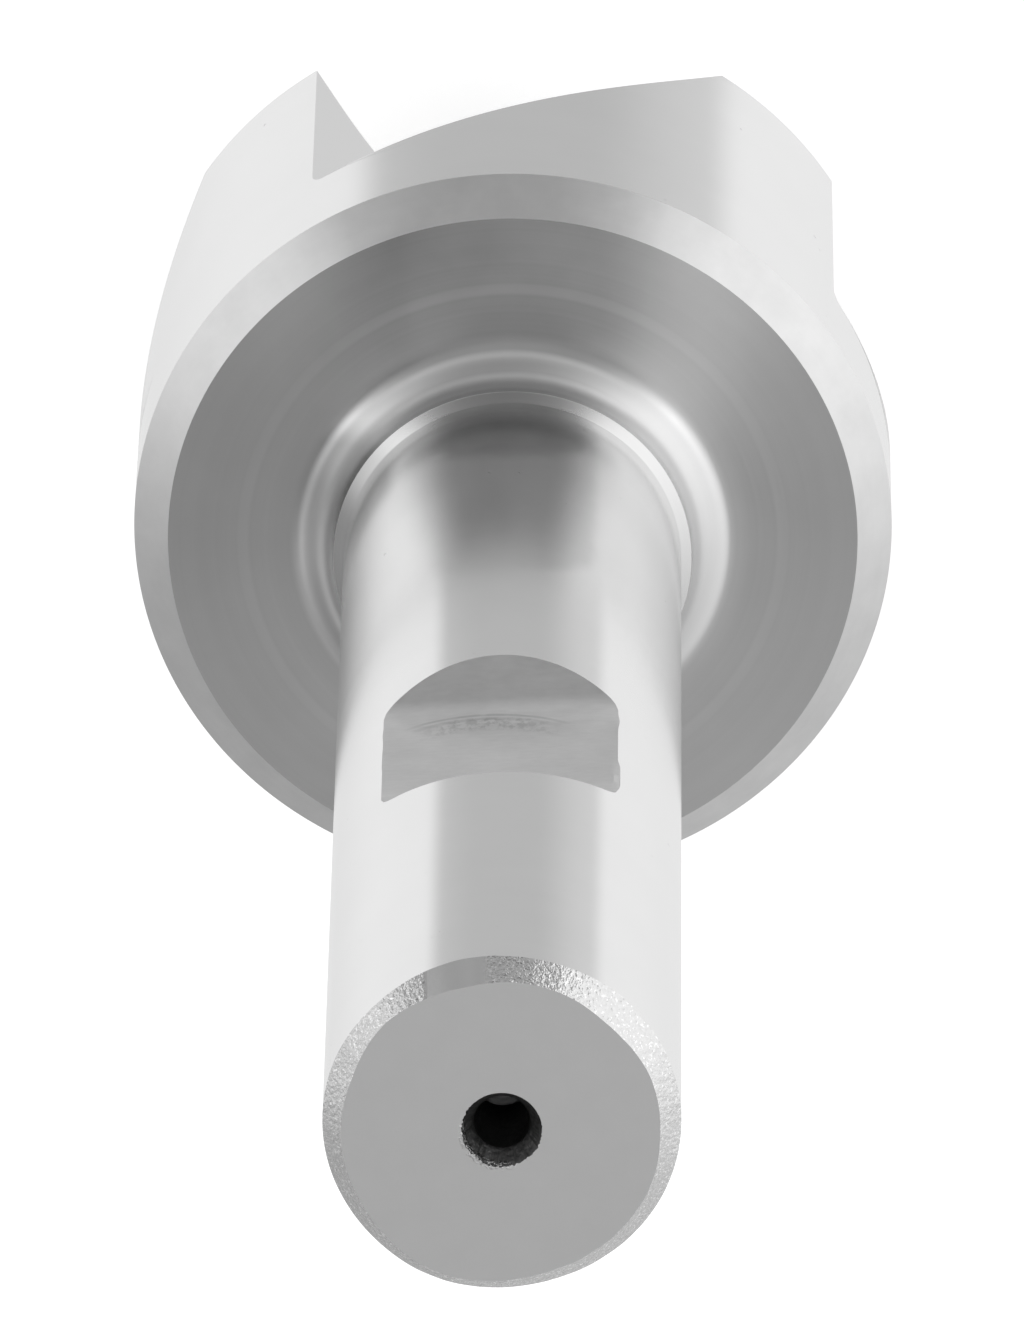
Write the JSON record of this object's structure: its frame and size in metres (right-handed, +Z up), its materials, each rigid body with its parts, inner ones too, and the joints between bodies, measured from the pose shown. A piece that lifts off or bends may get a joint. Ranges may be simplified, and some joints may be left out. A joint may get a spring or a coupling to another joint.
{
  "type": "corner rounding end mill",
  "caption": "Milling cutter that rounds the outer edge of a work piece: a fluted head with a concave quarter-round form on a plain shank with a clamping flat.",
  "frame": {"origin": "middle of the cutting tip's end face, on the tool's axis; the tool stands on its tip", "axes": "+Z up along the tool's axis, from the cutting tip to the shank's end; +Y out of the clamping flat; +X completes the right-handed set"},
  "size_m": [0.0286, 0.0286, 0.0825],
  "materials": {
    "tool_steel": "ground, uncoated high speed steel"
  },
  "bodies": {
    "root": {"corner_rounding_end_mill": "tool_steel"}
  },
  "joints": []
}
